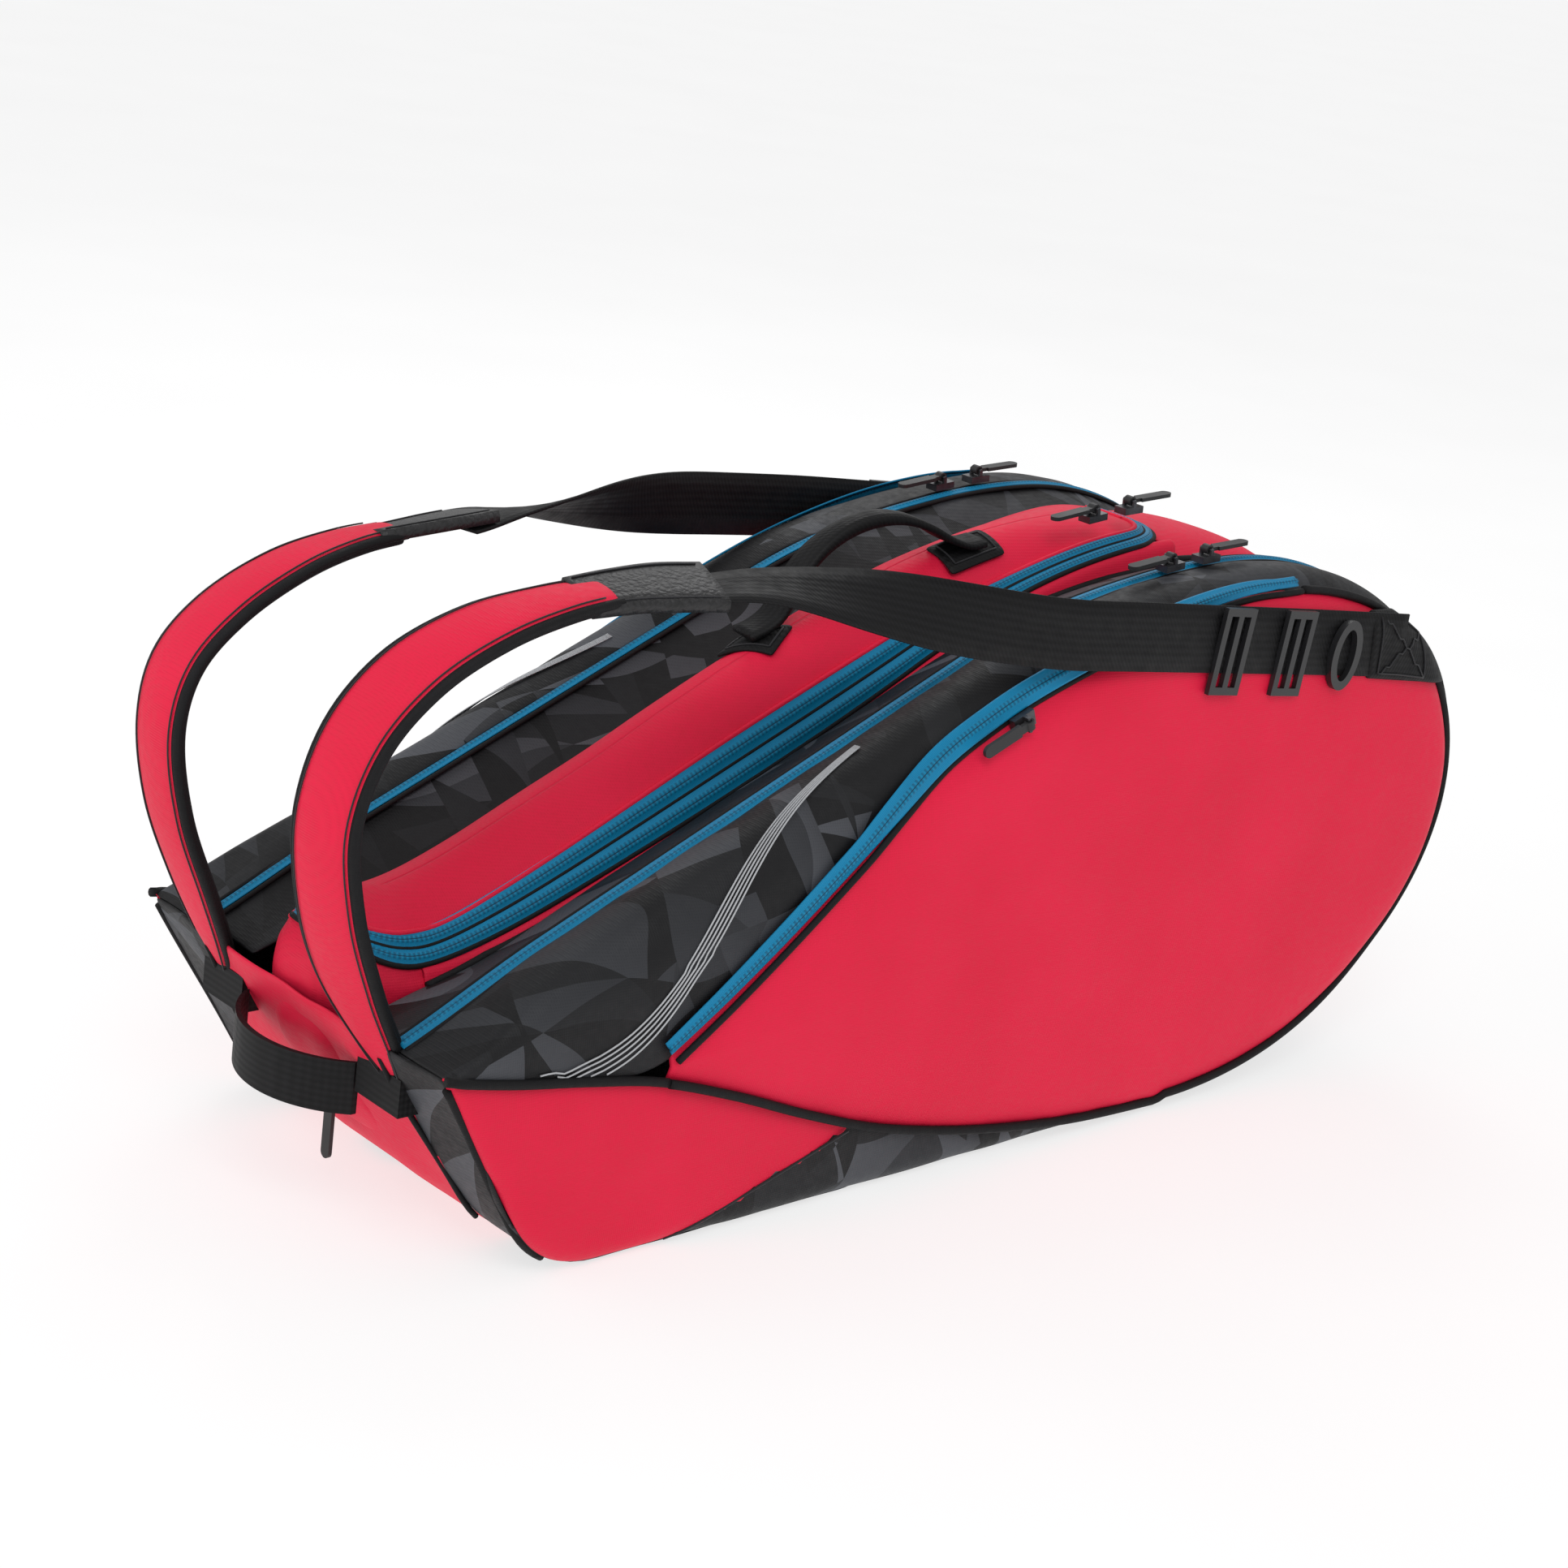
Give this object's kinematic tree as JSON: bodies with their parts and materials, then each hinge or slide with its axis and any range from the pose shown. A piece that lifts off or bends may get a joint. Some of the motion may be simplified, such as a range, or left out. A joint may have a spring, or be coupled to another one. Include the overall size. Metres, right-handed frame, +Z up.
{
  "type": "racket bag",
  "caption": "Long three-compartment racket tournament bag with zipped centre lid, side compartments that gape open, two backpack straps, a carry handle and a nose grab handle",
  "frame": {"origin": "on the floor, under the middle of the bag's flat bottom", "axes": "+X from the nose, the narrow strap end, to the rounded head; -Y to the front side; +Z up"},
  "size_m": [0.814, 0.2948, 0.347],
  "materials": {
    "red_fabric": "padded polyester with a fine smooth weave",
    "camouflage_fabric": "dark grey geometric print on polyester",
    "lining": "plain woven lining over foam",
    "board": "stiffening board",
    "blue_zip": "blue zip tape with coil teeth",
    "dark_metal": "black enamel",
    "pull_rubber": "moulded pull",
    "black_plastic": "moulded acetal",
    "textured_trim": "textured coated trim",
    "webbing": "ribbed nylon webbing"
  },
  "bodies": {
    "bag_shell": {"centre_shell": "red_fabric", "base_board": "board", "front_rail": "red_fabric", "front_divider": "lining", "back_divider": "lining", "front_gusset": "camouflage_fabric", "back_gusset": "camouflage_fabric", "front_lower_shell": "red_fabric", "back_lower_shell": "red_fabric", "front_strap_foot": "webbing", "back_strap_foot": "webbing", "grab_patches": "webbing", "nose_zip": "blue_zip"},
    "lid": {"centre_lid": "red_fabric", "centre_zip": "blue_zip", "handle_patches": "webbing"},
    "carry_handle": {"carry_handle": "webbing"},
    "grab_handle": {"grab_handle": "webbing"},
    "front_side": {"front_cover": "camouflage_fabric", "front_main_zip": "blue_zip", "front_pocket_panel": "red_fabric", "front_pocket_zip": "blue_zip", "front_head_anchor": "webbing"},
    "front_strap": {"front_strap_pad": "red_fabric", "front_strap_tab": "textured_trim", "front_strap_webbing": "webbing"},
    "front_rear_glide": {"front_rear_glide": "black_plastic"},
    "front_front_glide": {"front_front_glide": "black_plastic"},
    "front_ring": {"front_strap_ring": "black_plastic"},
    "back_side": {"back_cover": "camouflage_fabric", "back_main_zip": "blue_zip", "back_pocket_panel": "red_fabric", "back_pocket_zip": "blue_zip", "back_head_anchor": "webbing"},
    "back_strap": {"back_strap_pad": "red_fabric", "back_strap_tab": "textured_trim", "back_strap_webbing": "webbing"},
    "back_rear_glide": {"back_rear_glide": "black_plastic"},
    "back_front_glide": {"back_front_glide": "black_plastic"},
    "back_ring": {"back_strap_ring": "black_plastic"},
    "centre_slider_1": {"centre_slider_1": "dark_metal"},
    "centre_pull_1": {"centre_pull_1": "pull_rubber"},
    "centre_slider_2": {"centre_slider_2": "dark_metal"},
    "centre_pull_2": {"centre_pull_2": "pull_rubber"},
    "front_slider_1": {"front_slider_1": "dark_metal"},
    "front_pull_1": {"front_pull_1": "pull_rubber"},
    "front_slider_2": {"front_slider_2": "dark_metal"},
    "front_pull_2": {"front_pull_2": "pull_rubber"},
    "back_slider_1": {"back_slider_1": "dark_metal"},
    "back_pull_1": {"back_pull_1": "pull_rubber"},
    "back_slider_2": {"back_slider_2": "dark_metal"},
    "back_pull_2": {"back_pull_2": "pull_rubber"},
    "front_pocket_slider": {"front_pocket_slider": "dark_metal"},
    "front_pocket_pull": {"front_pocket_pull": "pull_rubber"},
    "back_pocket_slider": {"back_pocket_slider": "dark_metal"},
    "back_pocket_pull": {"back_pocket_pull": "pull_rubber"},
    "nose_slider": {"nose_slider": "dark_metal"},
    "nose_pull": {"nose_pull": "pull_rubber"}
  },
  "joints": [
    {"name": "lid_hinge", "type": "hinge", "parent": "bag_shell", "child": "lid", "pos_m": [0, 0.0423, 0.28676], "axis": [-0.9441, 0, -0.3298], "range_deg": [0, 80]},
    {"name": "carry_handle_swing", "type": "hinge", "parent": "lid", "child": "carry_handle", "pos_m": [-0.017, 0, 0.30576], "axis": [0.9329, 0, 0.3601], "range_deg": [-50, 50]},
    {"name": "grab_handle_droop", "type": "hinge", "parent": "bag_shell", "child": "grab_handle", "pos_m": [-0.3671, 0, 0.082], "axis": [0, -1, 0], "range_deg": [0, 25]},
    {"name": "front_side_gape", "type": "hinge", "parent": "bag_shell", "child": "front_side", "pos_m": [0, -0.129, 0], "axis": [1, 0, 0], "range_deg": [0, 10]},
    {"name": "front_strap_swing", "type": "hinge", "parent": "front_side", "child": "front_strap", "pos_m": [-0.377, -0.076, 0.092], "axis": [0.9698, -0.0945, 0.2249], "range_deg": [0, 35]},
    {"name": "front_rear_glide_slide", "type": "slide", "parent": "front_strap", "child": "front_rear_glide", "axis": [0.9938, 0, -0.1114], "range_m": [-0.025, 0.012]},
    {"name": "front_front_glide_slide", "type": "slide", "parent": "front_strap", "child": "front_front_glide", "axis": [0.9938, 0, -0.1114], "range_m": [-0.012, 0.012]},
    {"name": "front_ring_swing", "type": "hinge", "parent": "front_strap", "child": "front_ring", "pos_m": [0.22508, -0.1434, 0.2764], "axis": [-0.1114, 0, -0.9938], "range_deg": [0, 80]},
    {"name": "back_side_gape", "type": "hinge", "parent": "bag_shell", "child": "back_side", "pos_m": [0, 0.129, 0], "axis": [-1, 0, 0], "range_deg": [0, 10]},
    {"name": "back_strap_swing", "type": "hinge", "parent": "back_side", "child": "back_strap", "pos_m": [-0.377, 0.076, 0.092], "axis": [-0.9698, -0.0945, -0.2249], "range_deg": [0, 35]},
    {"name": "back_rear_glide_slide", "type": "slide", "parent": "back_strap", "child": "back_rear_glide", "axis": [0.9938, 0, -0.1114], "range_m": [-0.025, 0.012]},
    {"name": "back_front_glide_slide", "type": "slide", "parent": "back_strap", "child": "back_front_glide", "axis": [0.9938, 0, -0.1114], "range_m": [-0.012, 0.012]},
    {"name": "back_ring_swing", "type": "hinge", "parent": "back_strap", "child": "back_ring", "pos_m": [0.22508, 0.1434, 0.2764], "axis": [0.1114, 0, 0.9938], "range_deg": [0, 80]},
    {"name": "centre_slider_1_travel", "type": "slide", "parent": "lid", "child": "centre_slider_1", "axis": [-0.9927, 0, -0.1204], "range_m": [0, 0.04]},
    {"name": "centre_pull_1_flip", "type": "hinge", "parent": "centre_slider_1", "child": "centre_pull_1", "pos_m": [0.12707, -0.0345, 0.34096], "axis": [0, 1, 0], "range_deg": [0, 110]},
    {"name": "centre_slider_2_travel", "type": "slide", "parent": "lid", "child": "centre_slider_2", "axis": [0.9981, 0, 0.0621], "range_m": [0, 0.03]},
    {"name": "centre_pull_2_flip", "type": "hinge", "parent": "centre_slider_2", "child": "centre_pull_2", "pos_m": [0.15752, -0.0345, 0.34375], "axis": [0, -1, 0], "range_deg": [0, 110]},
    {"name": "front_slider_1_travel", "type": "slide", "parent": "front_side", "child": "front_slider_1", "axis": [-0.9933, 0, -0.1157], "range_m": [0, 0.04]},
    {"name": "front_pull_1_flip", "type": "hinge", "parent": "front_slider_1", "child": "front_pull_1", "pos_m": [0.13111, -0.0935, 0.32754], "axis": [0, 1, 0], "range_deg": [0, 110]},
    {"name": "front_slider_2_travel", "type": "slide", "parent": "front_side", "child": "front_slider_2", "axis": [0.9984, 0, 0.0559], "range_m": [0, 0.03]},
    {"name": "front_pull_2_flip", "type": "hinge", "parent": "front_slider_2", "child": "front_pull_2", "pos_m": [0.16157, -0.0935, 0.33016], "axis": [0, -1, 0], "range_deg": [0, 110]},
    {"name": "back_slider_1_travel", "type": "slide", "parent": "back_side", "child": "back_slider_1", "axis": [-0.9933, 0, -0.1157], "range_m": [0, 0.04]},
    {"name": "back_pull_1_flip", "type": "hinge", "parent": "back_slider_1", "child": "back_pull_1", "pos_m": [0.13111, 0.0935, 0.32754], "axis": [0, 1, 0], "range_deg": [0, 110]},
    {"name": "back_slider_2_travel", "type": "slide", "parent": "back_side", "child": "back_slider_2", "axis": [0.9984, 0, 0.0559], "range_m": [0, 0.03]},
    {"name": "back_pull_2_flip", "type": "hinge", "parent": "back_slider_2", "child": "back_pull_2", "pos_m": [0.16157, 0.0935, 0.33016], "axis": [0, -1, 0], "range_deg": [0, 110]},
    {"name": "front_pocket_slider_travel", "type": "slide", "parent": "front_side", "child": "front_pocket_slider", "axis": [-0.9242, 0, -0.3819], "range_m": [0, 0.08]},
    {"name": "front_pocket_pull_flip", "type": "hinge", "parent": "front_pocket_slider", "child": "front_pocket_pull", "pos_m": [-0.02, -0.1417, 0.26009], "axis": [-0.3819, 0, 0.9242], "range_deg": [0, 110]},
    {"name": "back_pocket_slider_travel", "type": "slide", "parent": "back_side", "child": "back_pocket_slider", "axis": [-0.9242, 0, -0.3819], "range_m": [0, 0.08]},
    {"name": "back_pocket_pull_flip", "type": "hinge", "parent": "back_pocket_slider", "child": "back_pocket_pull", "pos_m": [-0.02, 0.1417, 0.26009], "axis": [0.3819, 0, -0.9242], "range_deg": [0, 110]},
    {"name": "nose_slider_travel", "type": "slide", "parent": "bag_shell", "child": "nose_slider", "axis": [0, 1, 0], "range_m": [-0.045, 0.045]},
    {"name": "nose_pull_flip", "type": "hinge", "parent": "nose_slider", "child": "nose_pull", "pos_m": [-0.3454, 0, 0.05204], "axis": [0, 1, 0], "range_deg": [-25, 60]}
  ]
}
